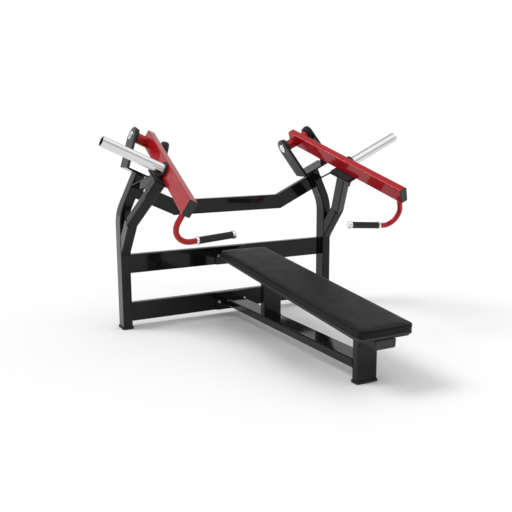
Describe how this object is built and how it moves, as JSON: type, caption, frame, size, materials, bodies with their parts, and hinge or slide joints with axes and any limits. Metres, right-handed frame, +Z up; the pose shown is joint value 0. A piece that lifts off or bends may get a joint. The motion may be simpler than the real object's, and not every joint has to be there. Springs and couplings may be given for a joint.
{
  "type": "chest press machine",
  "caption": "Plate-loaded lying chest press: flat bench on a two-post steel frame, with independent lever arms, plate horns and inward handles.",
  "frame": {"origin": "on the floor, under the middle of the machine's bounding box", "axes": "+X to the right as seen from the foot of the bench, +Y along the bench towards its head end, +Z up"},
  "size_m": [1.6644, 1.4963, 1.0497],
  "materials": {
    "frame_paint": "satin charcoal-black powder coat",
    "arm_paint": "glossy metallic red",
    "bright_chrome": "polished plating",
    "black_rubber": "matt moulded rubber",
    "grip_rubber": "textured non-slip grip",
    "black_plastic": "fine-textured plastic",
    "bush_bronze": "plain turned bronze",
    "pad_cover": "matt black leatherette",
    "board_wood": "black-stained plywood"
  },
  "bodies": {
    "frame": {"left_upright": "frame_paint", "right_upright": "frame_paint", "left_stop_branch": "frame_paint", "right_stop_branch": "frame_paint", "upper_crossbeam": "frame_paint", "lower_crossbeam": "frame_paint", "head_crossbar": "frame_paint", "left_bracket_base": "frame_paint", "right_bracket_base": "frame_paint", "left_inner_ear": "frame_paint", "left_outer_ear": "frame_paint", "right_inner_ear": "frame_paint", "right_outer_ear": "frame_paint", "left_axle": "bright_chrome", "right_axle": "bright_chrome", "axle_screws": "bright_chrome", "pivot_discs": "black_rubber", "left_stop_plate": "frame_paint", "right_stop_plate": "frame_paint", "left_stop_bumper": "black_rubber", "right_stop_bumper": "black_rubber", "left_stop_bracket": "frame_paint", "right_stop_bracket": "frame_paint", "left_stop_brace": "frame_paint", "right_stop_brace": "frame_paint", "stop_bracket_bolts": "bright_chrome", "base_tube": "frame_paint", "front_column": "frame_paint", "mid_post": "frame_paint", "pad_rail": "frame_paint", "rail_end_cap": "black_plastic", "upper_flange": "frame_paint", "lower_flange": "frame_paint", "flange_bolts": "bright_chrome", "left_foot": "black_rubber", "right_foot": "black_rubber", "front_foot": "black_rubber", "pad_board": "board_wood", "bench_pad": "pad_cover", "pad_screws": "bright_chrome"},
    "left_arm": {"left_arm_beam": "arm_paint", "left_pivot_sleeve": "arm_paint", "left_sleeve_bushes": "bush_bronze", "left_plate_horn": "bright_chrome", "left_horn_collar": "black_rubber", "left_handle_tube": "arm_paint", "left_grip": "grip_rubber", "left_grip_ring": "bright_chrome", "left_grip_cap": "bright_chrome", "left_arm_end_cap": "black_plastic"},
    "right_arm": {"right_arm_beam": "arm_paint", "right_pivot_sleeve": "arm_paint", "right_sleeve_bushes": "bush_bronze", "right_plate_horn": "bright_chrome", "right_horn_collar": "black_rubber", "right_handle_tube": "arm_paint", "right_grip": "grip_rubber", "right_grip_ring": "bright_chrome", "right_grip_cap": "bright_chrome", "right_arm_end_cap": "black_plastic"}
  },
  "joints": [
    {"name": "left_arm_swing", "type": "hinge", "parent": "frame", "child": "left_arm", "pos_m": [-0.45264, 0.70016, 0.9639], "axis": [-0.9063, 0, 0.4226], "range_deg": [0, 48]},
    {"name": "right_arm_swing", "type": "hinge", "parent": "frame", "child": "right_arm", "pos_m": [0.45264, 0.70016, 0.9639], "axis": [-0.9063, 0, -0.4226], "range_deg": [0, 48]}
  ]
}
